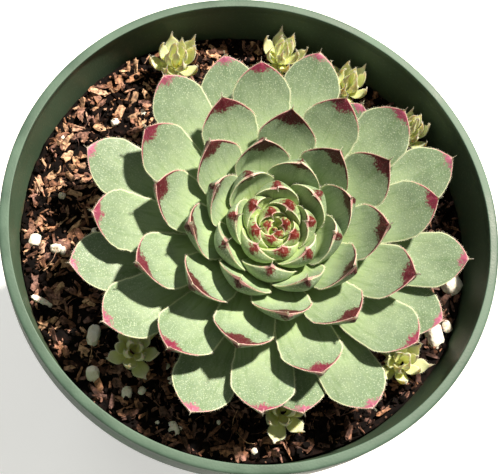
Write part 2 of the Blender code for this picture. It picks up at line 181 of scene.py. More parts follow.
def meshPiece(name, points, faces, material, fields=None, sharp=180.0):
    mesh = bpy.data.meshes.new(name)
    mesh.from_pydata(np.asarray(points).tolist(), [], faces)
    for field, value in (fields or {}).items():
        layer = mesh.attributes.new(field, "FLOAT", "POINT")
        layer.data.foreach_set("value", np.asarray(value, np.float32))
    mesh.materials.append(material)
    mesh.shade_smooth()
    if sharp < 180.0:
        mesh.set_sharp_from_angle(angle=math.radians(sharp))
    piece = bpy.data.objects.new(name, mesh)
    bpy.context.scene.collection.objects.link(piece)
    return piece


def turns(yaw, pitch, roll):
    # one rotation for each item: roll about X, then pitch about Y, then yaw about Z
    cy, sy, cp, sp, cr, sr = (f(a) for a in (yaw, pitch, roll) for f in (np.cos, np.sin))
    return np.stack([np.stack([cy * cp, cy * sp * sr - sy * cr, cy * sp * cr + sy * sr], -1),
                     np.stack([sy * cp, sy * sp * sr + cy * cr, sy * sp * cr - cy * sr], -1),
                     np.stack([-sp, cp * sr, cp * cr], -1)], -2)


def pebble(rows, columns, power):
    # super-ellipsoid of radius 1: cos and sin of two angles, each to a power below 1 for flat sides
    v = np.linspace(-math.pi / 2, math.pi / 2, rows + 2)[1:-1, None]
    u = np.linspace(0.0, fullTurn, columns, endpoint=False)[None, :]
    blunt = lambda f: np.sign(f) * np.abs(f) ** power
    shape = np.stack([blunt(np.cos(v)) * blunt(np.cos(u)), blunt(np.cos(v)) * blunt(np.sin(u)),
                      blunt(np.sin(v)) + 0.0 * u], -1).reshape(-1, 3)
    return np.concatenate([shape, [[0, 0, -1], [0, 0, 1]]]), gridFaces(rows, columns, 0)


def scatterPiece(name, base, places, sizes, rotations, rough, seed, material, tints=None):
    # many copies of one small shape: each is scaled, made uneven, turned and moved, all at once
    shape, faces = base
    rng = np.random.default_rng(seed)
    copies = shape[None] * sizes[:, None, :]
    copies = copies * (1.0 + rough * rng.uniform(-1.0, 1.0, (len(places), len(shape), 1)))
    copies = np.einsum("nij,npj->npi", rotations, copies) + places[:, None, :]
    allFaces = []
    for sides in (3, 4):
        some = np.array([face for face in faces if len(face) == sides], int).reshape(-1, sides)
        moved = some[None] + (np.arange(len(places)) * len(shape))[:, None, None]
        allFaces += moved.reshape(-1, sides).tolist()
    drawn = rng.uniform(0.0, 1.0, len(places)) if tints is None else tints
    tint = np.repeat(drawn, len(shape))
    return meshPiece(name, copies.reshape(-1, 3), allFaces, material, {"tint": tint}, sharp=35.0)


def finishPiece(piece, slot, *nodes):
    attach(piece, "root")
    if nodes:
        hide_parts(*nodes)


cameraSettings = {
    "tilt": 22.2,            # degrees between the line of sight and straight down
    "azimuth": 248.0,        # the side that the camera leans to
    "distance": 0.200,       # to the middle of the pot's rim
    "lens": 71.2,            # millimetres on a 36 mm wide sensor
    "shiftX": -0.0158,
    "shiftY": -0.0415,
}


def makeCamera(settings):
    tilt, azimuth = math.radians(settings["tilt"]), math.radians(settings["azimuth"])
    back = Vector((math.sin(tilt) * math.cos(azimuth), math.sin(tilt) * math.sin(azimuth), math.cos(tilt)))
    up = Vector((0.0, 1.0, 0.0))
    up = (up - up.dot(back) * back).normalized()
    right = up.cross(back)
    place = Vector((0.0, 0.0, rimHeight)) + back * settings["distance"]
    data = bpy.data.cameras.new("camera")
    data.lens = settings["lens"]
    data.sensor_width = 36.0
    data.shift_x = settings["shiftX"]
    data.shift_y = settings["shiftY"]
    data.clip_start = 0.01
    camera = bpy.data.objects.new("camera", data)
    bpy.context.scene.collection.objects.link(camera)
    turn = Matrix((right, up, back)).transposed().to_4x4()
    camera.matrix_world = Matrix.Translation(place) @ turn
    bpy.context.scene.camera = camera


makeCamera(cameraSettings)
print("camera ready")

lightSettings = {
    # name: place, size, power in watts, colour
    "key": ((0.33, 0.35, 0.70), 0.06, 17.5, "#fff4e4"),
    "fill": ((-0.45, -0.50, 0.50), 0.60, 0.75, "#f6f2d8"),
    "back": ((-0.30, 0.60, 0.45), 0.50, 0.9, "#ffffff"),
}
worldSettings = {"Color": "#f7f3e2", "Strength": 0.17}
floorHalf = 6.0


def makeLights(settings):
    aim = Vector((0.0, 0.0, rimHeight))
    for name, (place, size, power, colour) in settings.items():
        data = bpy.data.lights.new(name, "AREA")
        data.shape = "DISK"
        data.size = size
        data.energy = power
        data.color = linear(colour)[:3]
        light = bpy.data.objects.new(name, data)
        bpy.context.scene.collection.objects.link(light)
        light.location = place
        light.rotation_euler = (Vector(place) - aim).to_track_quat("Z", "Y").to_euler()
    world = bpy.data.worlds.new("studio")
    world.use_nodes = True
    glow = world.node_tree.nodes["Background"]
    glow.inputs["Color"].default_value = linear(worldSettings["Color"])
    glow.inputs["Strength"].default_value = worldSettings["Strength"]
    bpy.context.scene.world = world


makeLights(lightSettings)
# keeps the leaves' full colour in strong light
bpy.context.scene.view_settings.view_transform = "Standard"


def makeFloor():
    # opal acrylic sheet, cast, lit a little from under: evenly white, hardly any gloss, with thin shadows
    material, tree, shader = newMaterial("opal acrylic sheet", {
        "Roughness": 0.8, "Emission Strength": 0.45, "Emission Color": "#ffffff"})
    where = addNode(tree, "TexCoord", {}, "Object")
    mottle = addNode(tree, "TexNoise", {"Scale": 60.0, "Detail": 4.0, "Vector": where})
    tone = addNode(tree, "ValToRGB", {"stops": [(0.3, "#fafaf9"), (0.7, "#ffffff")], "Fac": mottle})
    joinShader(tree, shader, {"Base Color": tone})
    corners = [(x * floorHalf, y * floorHalf, 0.0) for x, y in ((-1, -1), (1, -1), (1, 1), (-1, 1))]
    meshPiece("studioFloor", corners, [(0, 1, 2, 3)], material)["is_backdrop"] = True


makeFloor()
print("lights and floor ready")


pot = {
    "baseRadius": 38.0 * mm,
    "wall": 1.2 * mm,
    "floor": 1.6 * mm,
    "bandHeight": 9.0 * mm,      # the stepped band under the lip
    "bandStep": 1.5 * mm,        # how far the band stands out from the wall
    "lipWidth": 2.0 * mm,
    "lipDepth": 2.5 * mm,
    "columns": 192,
    "drainHoles": 6,
    "drainRadius": 4.0 * mm,
    "drainCircle": 26.0 * mm,
    "drainTurn": 0.43,           # where the first hole sits, as a share of the step between holes
    # how far each corner is rounded, from the middle of the underside, over the rim, to the inner floor
    "rounding": (1.2 * mm, 0.3 * mm, 0.5 * mm, 0.6 * mm, 0.25 * mm, 0.8 * mm, 1.0 * mm),
    "steps": 4.0 * mm,           # longest straight piece of the profile
    "poleRadius": 0.6 * mm,      # radius of the small fans that close the underside and the floor
    "sharpAngle": 38.0,
}


def wallRadius(height):
    # straight taper from the base to under the rim band
    rise = rimHeight - pot["bandHeight"]
    return pot["baseRadius"] + (rimRadius - pot["bandStep"] - pot["baseRadius"]) * height / rise


def innerRadius(height):
    return wallRadius(height) - pot["wall"]


def roundedCorner(before, corner, after, radius, steps=5):
    # a quadratic curve from radius before the corner to radius after it, pulled to the corner
    before, corner, after = (np.array(p, float) for p in (before, corner, after))
    start = corner + (before - corner) * min(1.0, radius / np.linalg.norm(before - corner))
    end = corner + (after - corner) * min(1.0, radius / np.linalg.norm(after - corner))
    t = np.linspace(0.0, 1.0, steps)[:, None]
    return (1 - t) ** 2 * start + 2 * t * (1 - t) * corner + t ** 2 * end


def turnedGrid(profile, columns, x=0.0, y=0.0):
    # a profile of radius and height carried round the upright line through x, y
    angle = np.linspace(0.0, fullTurn, columns, endpoint=False)[None, :]
    radius, height = profile[:, :1], profile[:, 1:]
    return np.stack([x + radius * np.cos(angle), y + radius * np.sin(angle), height + 0.0 * angle], -1)


def potPlastic():
    # recycled polypropylene, injection moulded: grey-green, satin, with pale flecks of other batches,
    # a fine spark-eroded grain, and dried splashes near the soil
    material, tree, shader = newMaterial("recycled polypropylene", {"IOR": 1.49, "Specular IOR Level": 0.35})
    where = addNode(tree, "TexCoord", {}, "Object")
    height = addNode(tree, "SeparateXYZ", {0: where}, "Z")
    broad = addNode(tree, "TexNoise", {"Scale": 90.0, "Detail": 5.0, "Vector": where})    # 11 mm clouds
    body = addNode(tree, "ValToRGB", {
        "stops": [(0.3, "#1d2d22"), (0.5, "#273c2f"), (0.72, "#324b3a")], "Fac": broad})
    fleck = addNode(tree, "TexVoronoi", {"Scale": 1300.0, "Vector": where})               # 0.8 mm flecks
    fleckMask = addNode(tree, "MapRange", {0: fleck, 1: 0.12, 2: 0.3, 3: 0.15, 4: 0.0})
    flecked = addNode(tree, "Mix", {"Factor": fleckMask, "A": body, "B": "#93ad96"})
    # the inside is nearer the axis than the middle of the tapered wall at that height; there the plastic is
    # painted a lighter, greyer olive, as painted light for the sun on the inner wall
    flat = addNode(tree, "VectorMath", {"operation": "MULTIPLY", 0: where, 1: (1.0, 1.0, 0.0)})
    fromAxis = addNode(tree, "VectorMath", {"operation": "LENGTH", 0: flat})
    slope = (wallRadius(rimHeight) - wallRadius(0.0)) / rimHeight
    middle = wallRadius(0.0) - 0.5 * pot["wall"]
    midWall = addNode(tree, "Math", {"operation": "MULTIPLY_ADD", 0: height, 1: slope, 2: middle})
    inside = addNode(tree, "Math", {"operation": "LESS_THAN", 0: fromAxis, 1: midWall})
    insidePaintedLight = addNode(tree, "Math", {"operation": "MULTIPLY", 0: inside, 1: 0.55})
    insideLit = addNode(tree, "Mix", {"Factor": insidePaintedLight, "A": flecked, "B": "#4c5f4a"})
    # the top of the lip is painted lighter: a painted highlight for its lit top, along with some scuffing and
    # bleaching
    onLip = addNode(tree, "MapRange", {
        0: height, 1: rimHeight - 1.2 * mm, 2: rimHeight - 0.3 * mm, 3: 0.0, 4: 0.85})
    lipTone = addNode(tree, "ValToRGB", {"stops": [(0.35, "#435a4d"), (0.65, "#5c7566")], "Fac": broad})
    lipWornAndLit = addNode(tree, "Mix", {"Factor": onLip, "A": insideLit, "B": lipTone})
    # splashes of wet soil, dried brown, on the inside only, and fewer towards the rim
    low = addNode(tree, "MapRange", {
        0: height, 1: rimHeight - 16.0 * mm, 2: rimHeight - 4.0 * mm, 3: 0.95, 4: 0.1})
    splash = addNode(tree, "TexNoise", {"Scale": 420.0, "Detail": 6.0, "Roughness": 0.7, "Vector": where})
    dirtLevel = addNode(tree, "Math", {"operation": "MULTIPLY", 0: splash, 1: low})
    dirtMask = addNode(tree, "MapRange", {0: dirtLevel, 1: 0.31, 2: 0.5, 3: 0.0, 4: 0.85})
    dirt = addNode(tree, "Math", {"operation": "MULTIPLY", 0: dirtMask, 1: inside})
    soiled = addNode(tree, "Mix", {"Factor": dirt, "A": lipWornAndLit, "B": "#5d503c"})
    rough = addNode(tree, "MapRange", {0: broad, 1: 0.3, 2: 0.7, 3: 0.44, 4: 0.66})
    grain = addNode(tree, "TexNoise", {"Scale": 2600.0, "Detail": 2.0, "Vector": where})  # 0.4 mm grain
    bump = addNode(tree, "Bump", {"Strength": 0.35, "Distance": 0.12 * mm, "Height": grain})
    joinShader(tree, shader, {"Base Color": soiled, "Roughness": rough, "Normal": bump})
    return material


def makePot():
    top, band, lip = rimHeight, rimHeight - pot["bandHeight"], rimHeight - pot["lipDepth"]
    floor, pole = pot["floor"], pot["poleRadius"]
    corners = [(pole, 0.0), (pot["baseRadius"], 0.0), (wallRadius(band), band), (rimRadius, band),
               (rimRadius, top), (rimRadius - pot["lipWidth"], top), (innerRadius(lip), lip),
               (innerRadius(floor), floor), (pole, floor)]
    profile = [np.array([corners[0]])]
    for i, radius in enumerate(pot["rounding"], start=1):
        curve = roundedCorner(corners[i - 1], corners[i], corners[i + 1], radius)
        last = profile[-1][-1]
        steps = max(2, int(np.linalg.norm(curve[0] - last) / pot["steps"]) + 1)
        share = np.linspace(0.0, 1.0, steps + 1)[1:-1, None]
        profile += [last + (curve[0] - last) * share, curve]
    profile.append(np.array([corners[-1]]))
    shell = {"points": turnedGrid(np.concatenate(profile), pot["columns"])}
    piece = surfacePiece("nurseryPot", [shell], potPlastic())
    cutters = []
    for i in range(pot["drainHoles"]):
        angle = fullTurn * (i + pot["drainTurn"]) / pot["drainHoles"]
        ring = np.array([[pot["drainRadius"], -floor], [pot["drainRadius"], 2.0 * floor]])
        x, y = pot["drainCircle"] * math.cos(angle), pot["drainCircle"] * math.sin(angle)
        hole = {"points": turnedGrid(ring, 32, x, y)}
        cutter = surfacePiece(f"drainCutter{i + 1}", [hole], piece.data.materials[0])
        cut = piece.modifiers.new(cutter.name, "BOOLEAN")
        cut.operation = "DIFFERENCE"
        cut.solver = "EXACT"
        cut.object = cutter
        cutters.append(cutter)
    cutMesh = bpy.data.meshes.new_from_object(piece.evaluated_get(bpy.context.evaluated_depsgraph_get()))
    piece.modifiers.clear()
    piece.data = cutMesh
    cutMesh.set_sharp_from_angle(angle=math.radians(pot["sharpAngle"]))
    for cutter in cutters:
        bpy.data.objects.remove(cutter, do_unlink=True)
    finishPiece(piece, "pot_plastic", "pot")


makePot()
print("pot ready")


soil = {
    "level": rimHeight - 13.0 * mm,
    "heap": 1.2 * mm,            # the mean rise at the wall
    "heapSwing": 1.4 * mm,
    "heapAzimuth": 128.0,
    "sunk": 0.75 * mm,           # how far the crumbs' feet lie under the level
    "hollows": ((6.0 * mm, 0.65 * mm, 3), (2.6 * mm, 0.325 * mm, 4)),      # cell, depth and seed
    "crumbs": ((1.9 * mm, 0.8 * mm, 5), (0.8 * mm, 0.42 * mm, 6)),         # cell, height and seed
    "columns": 300,
    "rows": 96,
    "floorGap": 0.4 * mm,
    "wallGap": 0.15 * mm,
}


def heapRise(x, y):
    # a cube of the share of the way to the wall, with a cosine swing to two opposite sides
    share = np.clip(np.hypot(x, y) / innerRadius(soil["level"]), 0.0, 1.0)
    swing = np.cos(2.0 * (np.arctan2(y, x) - math.radians(soil["heapAzimuth"])))
    return (soil["heap"] + soil["heapSwing"] * swing) * share ** 3


def soilTop(x, y):
    # the heap and broad hollows, plus domes of coarse and fine crumbs
    hollow = sum(depth * latticeNoise(x, y, cell, seed) for cell, depth, seed in soil["hollows"])
    crumbs = sum(height * crumbNoise(x, y, cell, seed) for cell, height, seed in soil["crumbs"])
    return soil["level"] - soil["sunk"] + heapRise(x, y) + hollow + crumbs


def pottingSoil():
    # peat and composted bark, sieved and damp: near black, warmer where it dries, dull but for wet specks
    material, tree, shader = newMaterial("damp potting soil", {
        "Roughness": 0.92, "IOR": 1.4, "Specular IOR Level": 0.2})
    where = addNode(tree, "TexCoord", {}, "Object")
    clumps = addNode(tree, "TexNoise", {"Scale": 500.0, "Detail": 8.0, "Roughness": 0.65, "Vector": where})
    tone = addNode(tree, "ValToRGB", {
        "stops": [(0.38, "#050303"), (0.52, "#0d0706"), (0.64, "#21130f"), (0.8, "#4a3226")], "Fac": clumps})
    cellTone = addNode(tree, "TexVoronoi", {"Scale": 1500.0, "Vector": where}, "Color")   # 0.7 mm grains
    pick = addNode(tree, "SeparateColor", {0: cellTone})
    rare = addNode(tree, "Math", {"operation": "GREATER_THAN", 0: pick, 1: 0.955})
    fromMiddle = cellTone.node.outputs["Distance"]
    close = addNode(tree, "Math", {"operation": "LESS_THAN", 0: fromMiddle, 1: 0.36})
    grains = addNode(tree, "Math", {"operation": "MULTIPLY", 0: rare, 1: close})
    mixed = addNode(tree, "Mix", {"Factor": grains, "A": tone, "B": "#76594a"})
    bump = addNode(tree, "Bump", {"Strength": 0.8, "Distance": 0.4 * mm, "Height": clumps})
    joinShader(tree, shader, {"Base Color": mixed, "Normal": bump})
    return material


def makeSoilBed():
    # polar grid about the pot's axis: up the side, then rings from the wall to the middle at the top's height
    floor = pot["floor"] + soil["floorGap"]
    angle = np.linspace(0.0, fullTurn, soil["columns"], endpoint=False)[None, :]
    ring = np.linspace(1.0, 0.0, soil["rows"])[:, None]
    radius = (innerRadius(soil["level"]) - soil["wallGap"]) * (0.03 + 0.97 * ring ** 0.8)
    x, y = radius * np.cos(angle), radius * np.sin(angle)
    top = np.stack([x, y, soilTop(x, y)], -1)
    low = innerRadius(floor) - soil["floorGap"]
    under = np.stack([low * np.cos(angle), low * np.sin(angle), floor + 0.0 * angle], -1)
    piece = surfacePiece("soilBed", [{"points": np.concatenate([under, top])}], pottingSoil())
    finishPiece(piece, "potting_soil", "soil")


makeSoilBed()
print("soil ready")

soilBits = {
    # number, nearest and furthest from the pot's axis, and seed
    "chips": (2500, 22.0 * mm, 47.4 * mm, 11),
    "crumbs": (2600, 20.0 * mm, 47.0 * mm, 21),
    "perlite": (46, 25.0 * mm, 45.5 * mm, 31),
    "fibres": (260, 24.0 * mm, 44.0 * mm, 41),
    "clearRadius": 47.5 * mm,    # nothing reaches past this
    "fibreClearRadius": 46.6 * mm,
    "chipLength": 2.0 * mm,      # half the length of the longest chip
    "chipThickness": (0.1 * mm, 0.28 * mm),
    "crumbSize": (0.25 * mm, 0.8 * mm),
    "perliteSize": (0.35 * mm, 0.95 * mm),
    "fibreLength": (1.2 * mm, 3.4 * mm),
    "unevenness": (0.7, 1.2),    # how much one measure of a crumb or a grain differs from another
    # the azimuth of the side where chips are painted paler, as painted light for where the light falls
    "litSideAzimuth": 152.0,
    # perlite grains that lie where they catch the eye: x, y, length and width in mm
    "placed": [(46.0, -8.6, 6.2, 4.6), (42.8, -22.5, 6.0, 4.0), (39.2, -20.0, 3.2, 3.0),
               (44.6, -19.4, 2.6, 2.0), (-44.6, -3.4, 3.0, 2.4), (-40.2, -4.8, 2.6, 2.0),
               (-31.6, -22.6, 5.0, 2.6), (-31.2, -30.6, 3.4, 2.6), (-24.4, -34.0, 2.8, 2.2),
               (-15.0, -41.0, 3.0, 2.2), (-43.6, -16.4, 4.6, 1.4), (20.5, 41.0, 3.0, 2.4)],
}


def soilPlaces(kind):
    # even scatter over the ring of soil: the radius is the root of an evenly drawn area
    count, inner, outer, seed = soilBits[kind]
    rng = np.random.default_rng(seed)
    radius = np.sqrt(rng.uniform(inner ** 2, outer ** 2, count))
    angle = rng.uniform(0.0, fullTurn, count)
    return radius * np.cos(angle), radius * np.sin(angle), count, rng


def barkSkin():
    # milled pine bark: fibrous, tan to pinkish brown and darker where damp, with fine lengthways grain
    material, tree, shader = newMaterial("milled pine bark", {"Roughness": 0.82, "Specular IOR Level": 0.3})
    where = addNode(tree, "TexCoord", {}, "Object")
    tint = addNode(tree, "Attribute", {"attribute_name": "tint"}, "Fac")
    own = addNode(tree, "ValToRGB", {
        "stops": [(0.0, "#2a1913"), (0.35, "#4a2f22"), (0.6, "#7d5642"), (0.8, "#a87a5c"), (1.0, "#cfa886")],
        "Fac": tint})
    pinkish = addNode(tree, "TexNoise", {"Scale": 260.0, "Detail": 2.0, "Vector": where})
    pinkMask = addNode(tree, "MapRange", {0: pinkish, 1: 0.45, 2: 0.65, 3: 0.0, 4: 0.4})
    hue = addNode(tree, "Mix", {"Factor": pinkMask, "A": own, "B": "#b08a84"})
    grain = addNode(tree, "TexNoise", {"Scale": 1600.0, "Detail": 5.0, "Vector": where})   # 0.6 mm grain
    dark = addNode(tree, "MapRange", {0: grain, 1: 0.36, 2: 0.64, 3: 0.3, 4: 1.4})
    shade = addNode(tree, "VectorMath", {"operation": "SCALE", 0: hue, 3: dark})
    bump = addNode(tree, "Bump", {"Strength": 0.6, "Distance": 0.2 * mm, "Height": grain})
    joinShader(tree, shader, {"Base Color": shade, "Normal": bump})
    return material


def perliteSkin():
    # expanded perlite: chalk-white volcanic glass foam, full of pits, greyed by soil in the hollows
    material, tree, shader = newMaterial("expanded perlite", {
        "Roughness": 0.7, "Subsurface Weight": 0.1, "Subsurface Scale": 0.6 * mm})
    where = addNode(tree, "TexCoord", {}, "Object")
    pits = addNode(tree, "TexVoronoi", {"Scale": 1700.0, "Vector": where})                 # 0.6 mm pits
    soot = addNode(tree, "TexNoise", {"Scale": 520.0, "Detail": 6.0, "Vector": where})
    both = addNode(tree, "Math", {"operation": "MULTIPLY_ADD", 0: pits, 1: 0.35, 2: soot})
    tone = addNode(tree, "ValToRGB", {
        "stops": [(0.36, "#9a8a74"), (0.48, "#ddd3bf"), (0.6, "#f2ebdc"), (1.0, "#fbf8f0")], "Fac": both})
    bump = addNode(tree, "Bump", {"Strength": 0.4, "Distance": 0.2 * mm, "Height": pits})
    joinShader(tree, shader, {"Base Color": tone, "Normal": bump})
    return material


def makeChips():
    x, y, count, rng = soilPlaces("chips")
    length = rng.uniform(0.4, 1.0, count) ** 2.0 * soilBits["chipLength"]
    width = length * rng.uniform(0.16, 0.5, count)
    thick = rng.uniform(*soilBits["chipThickness"], count)
    places = np.stack([x, y, soilTop(x, y) + 0.5 * thick + rng.uniform(0.0, 0.4, count) * mm], -1)
    yaw = rng.uniform(0.0, fullTurn, count)
    rotations = turns(yaw, rng.normal(0, 0.38, count), rng.normal(0, 0.4, count))
    reach = (soilBits["clearRadius"] - length) / np.hypot(x, y)    # chips near the wall move in to clear it
    places[:, :2] *= np.minimum(1.0, reach)[:, None]
    # chips are painted paler on one side of the pot, as painted light for the side the light falls on: a
    # cosine of the azimuth from that side
    litSide = 0.5 + 0.5 * np.cos(np.arctan2(y, x) - math.radians(soilBits["litSideAzimuth"]))
    tints = np.clip(rng.uniform(0.08, 0.74, count) + 0.4 * litSide ** 2, 0.0, 1.0)
    sizes = np.stack([length, width, thick], -1)
    piece = scatterPiece("barkChips", pebble(3, 8, 0.42), places, sizes, rotations, 0.42, 12, barkSkin(),
                         tints)
    finishPiece(piece, "potting_soil")


def makeCrumbs():
    x, y, count, rng = soilPlaces("crumbs")
    size = rng.uniform(*soilBits["crumbSize"], (count, 1)) * rng.uniform(*soilBits["unevenness"], (count, 3))
    places = np.stack([x, y, soilTop(x, y) + 0.25 * size[:, 2]], -1)
    rotations = turns(*rng.uniform(0.0, fullTurn, (3, count)))
    piece = scatterPiece("peatCrumbs", pebble(3, 7, 0.8), places, size, rotations, 0.28, 22, pottingSoil())
    finishPiece(piece, "potting_soil")


def makePerlite():
    x, y, count, rng = soilPlaces("perlite")
    size = rng.uniform(*soilBits["perliteSize"], (count, 1))
    size = size * rng.uniform(*soilBits["unevenness"], (count, 3))
    placed = np.array(soilBits["placed"]) * mm
    x, y = np.concatenate([x, placed[:, 0]]), np.concatenate([y, placed[:, 1]])
    large = np.stack([placed[:, 2], placed[:, 3], 0.75 * placed[:, 3]], -1) * 0.5
    size = np.concatenate([size, large])
    reach = np.minimum(1.0, (soilBits["clearRadius"] - size.max(-1)) / np.hypot(x, y))
    x, y = x * reach, y * reach
    places = np.stack([x, y, soilTop(x, y) + 0.35 * size[:, 2]], -1)
    total = len(x)
    yaw = rng.uniform(0.0, fullTurn, total)
    rotations = turns(yaw, rng.normal(0, 0.3, total), rng.normal(0, 0.3, total))
    piece = scatterPiece("perliteGrains", pebble(9, 16, 0.72), places, size, rotations, 0.09, 32,
                         perliteSkin())
    finishPiece(piece, "potting_soil")


def makeFibres():
    # thin bent tubes: a quarter-wave arch along X, carried by a small ring, then scattered like the chips
    x, y, count, rng = soilPlaces("fibres")
    rows, columns = 7, 4
    along = np.linspace(-1.0, 1.0, rows)[:, None]
    angle = np.linspace(0.0, fullTurn, columns, endpoint=False)[None, :]
    thin = 0.035 * (1.0 - 0.7 * np.abs(along))
    tube = np.stack([along + 0.0 * angle, 0.25 * np.cos(2.2 * along) + thin * np.cos(angle),
                     0.10 * (1.0 - along ** 2) + thin * np.sin(angle)], -1)
    shape = np.concatenate([tube.reshape(-1, 3), tube[0].mean(0)[None], tube[-1].mean(0)[None]])
    faces = [face[::-1] for face in gridFaces(rows, columns, 0)]
    length = rng.uniform(*soilBits["fibreLength"], count)
    reach = np.minimum(1.0, (soilBits["fibreClearRadius"] - length) / np.hypot(x, y))
    places = np.stack([x * reach, y * reach, soilTop(x * reach, y * reach) + 0.35 * mm], -1)
    yaw = rng.uniform(0.0, fullTurn, count)
    rotations = turns(yaw, rng.normal(0, 0.15, count), rng.normal(0, 0.5, count))
    sizes = np.repeat(length[:, None], 3, 1)
    piece = scatterPiece("rootFibres", (shape, faces), places, sizes, rotations, 0.0, 42, barkSkin())
    finishPiece(piece, "potting_soil")


makeChips()
makeCrumbs()
makePerlite()
makeFibres()
print("bark, crumbs, perlite and fibres ready")


def stemBark():
    # houseleek stem: corky grey-brown skin with rings of old leaf scars
    material, tree, shader = newMaterial("corky stem", {"Roughness": 0.85})
    where = addNode(tree, "TexCoord", {}, "Object")
    rings = addNode(tree, "TexWave", {
        "bands_direction": "Z", "Scale": 240.0, "Distortion": 6.0, "Detail": 3.0, "Vector": where}, "Fac")
    tone = addNode(tree, "ValToRGB", {
        "stops": [(0.1, "#3b2a1c"), (0.55, "#6d5a3e"), (0.9, "#8d8a58")], "Fac": rings})
    bump = addNode(tree, "Bump", {"Strength": 0.5, "Distance": 0.3 * mm, "Height": rings})
    joinShader(tree, shader, {"Base Color": tone, "Normal": bump})
    return material


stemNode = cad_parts["stem"]
stemNode.data.materials.clear()
stemNode.data.materials.append(stemBark())
print("stem ready")


rosette = {
    "leaves": 64,
    "budLeaves": 15,
    "firstAzimuth": 77.9,
    "stemRadius": 8.0 * mm,
    "stemRise": 5.2 * mm,
    "collar": 2.8 * mm,
    "budRooting": 0.55,
    "budRise": 0.9 * mm,
    "widestWrap": 1.15,          # radians that half a leaf wraps about the axis
    "middleAge": 40,
    "middleReach": 30.5 * mm,
    "reachGrowth": 1.18,
    "longestReach": 43.0 * mm,
    "reachSoftness": 3.0 * mm,
    "width": 12.8 * mm,
    "widthAge": 8.0,             # leaves of age until the width has mostly grown
    "baseSlopes": (8.0, 84.0, 0.8),  # degrees round the dome to the first leaf, on to the last, and the power
    "bow": (0.38, 0.07),         # youngest, oldest
    "closedAge": 15.0,           # leaves up to about this age bend in over the heart
    "pointLength": 0.92,         # from the broadest place to the tip, in half widths
    "broadest": (0.55, 0.82),
    "shoulder": 1.4,
    "points": (0.9, 0.62),
    "tipHollow": (0.72, 0.8 * mm),   # how much the outline is hollowed at the tip, and over what length
    "pointAges": (34, 50),
    "baseWidth": 0.46,
    "swellShape": 1.6,           # higher keeps the leaf narrow for longer
    "thickness": 2.0 * mm,
    "tipHeights": (10.0 * mm, 17.5 * mm, 9.5 * mm),
    "tipPeak": 0.42,
    "fallShape": 1.6,
    "shorter": {60: 0.95, 61: 0.92, 63: 0.84, 64: 0.9},
    "wallGap": 2.5 * mm,
    "curl": 0.9 * mm,            # how far a tip turns up
    "curlMiddle": 1.0 * mm,      # more of it on leaves of middle age
    "curlOld": 1.2 * mm,         # and on old ones
    "curlPeak": (26.0, 16.0),    # the middle age, and how many leaves to either side
    "curlFrom": 0.52,            # share of the length where it begins
    "trough": 0.3 * mm,          # how far the margins stand up over the middle of the blade
    "mucro": 1.0 * mm,           # the short hooked point that ends each leaf
    "pointRadius": 0.9 * mm,     # the growing point in the middle of the heart
    "pointSpan": (0.4 * mm, 2.3 * mm),
    "rows": 44,
    "columns": 36,
}


def leafReach(age):
    # grows as a power of age, then levels off softly at the longest reach
    free = rosette["middleReach"] * (age / rosette["middleAge"]) ** rosette["reachGrowth"]
    soft = rosette["reachSoftness"]
    either = math.exp(-free / soft) + math.exp(-rosette["longestReach"] / soft)
    return -soft * math.log(either) * rosette["shorter"].get(age, 1.0)


def tipHeight(age):
    # a quarter sine up to the peak age, then a power curve down
    heart, middle, outside = rosette["tipHeights"]
    share = age / rosette["leaves"]
    if share < rosette["tipPeak"]:
        return heart + (middle - heart) * math.sin(0.5 * math.pi * share / rosette["tipPeak"])
    fall = (share - rosette["tipPeak"]) / (1.0 - rosette["tipPeak"])
    lower = math.sqrt(rosette["shorter"].get(age, 1.0))
    return (middle - (middle - outside) * fall ** rosette["fallShape"]) * lower


def leafBase(age):
    # on the stem's dome: a power of the age gives the slope from its top
    first, span, power = rosette["baseSlopes"]
    slope = math.radians(first + span * (age / rosette["leaves"]) ** power)
    return rosette["stemRadius"] * math.sin(slope), rosette["collar"] + rosette["stemRise"] * math.cos(slope)


def leafLine(age):
    # base, bowed middle and tip of the leaf's centre line as radius and height
    start = leafBase(age)
    if age <= rosette["budLeaves"]:
        start = (rosette["budRooting"] * start[0], start[1] + rosette["budRise"])
    azimuth = math.radians(rosette["firstAzimuth"] - goldenAngle * age)
    tip = tipHeight(age)
    inside = innerRadius(soil["level"] + tip)
    towards = plantX * math.cos(azimuth) + plantY * math.sin(azimuth)
    free = -towards + math.sqrt(towards ** 2 - plantX ** 2 - plantY ** 2 + inside ** 2)
    reach = min(leafReach(age), free - rosette["wallGap"])
    run, rise = reach - start[0], tip - start[1]
    young, old = rosette["bow"]
    bow = old + (young - old) * (1.0 - age / rosette["leaves"]) ** 2
    closed = math.exp(-(age / rosette["closedAge"]) ** 2)
    middle = (start[0] + 0.5 * run + bow * rise + closed * (0.5 * reach + 0.8 * mm),
              start[1] + 0.5 * rise - bow * run + closed * 0.12 * rise)
    return azimuth, np.array([start, middle, (reach, tip)])


def bladeOutline(s, broadest, age):
    # half width as a share: a sine swell from the base to the broadest place, then (1 - out^shoulder)^point,
    # where point is nearly 1 on young leaves, almost straight to the tip, and lower on blunt old ones
    base = rosette["baseWidth"]
    quarter = np.sin(0.5 * math.pi * np.clip(s / broadest, 0.0, 1.0))
    swell = base + (1.0 - base) * quarter ** rosette["swellShape"]
    out = np.clip((s - broadest) / (1.0 - broadest), 0.0, 1.0)
    (youngPoint, oldPoint), (first, last) = rosette["points"], rosette["pointAges"]
    point = youngPoint + (oldPoint - youngPoint) * min(1.0, max(0.0, (age - first) / (last - first)))
    return np.where(s < broadest, swell, (1.0 - out ** rosette["shoulder"]) ** point)


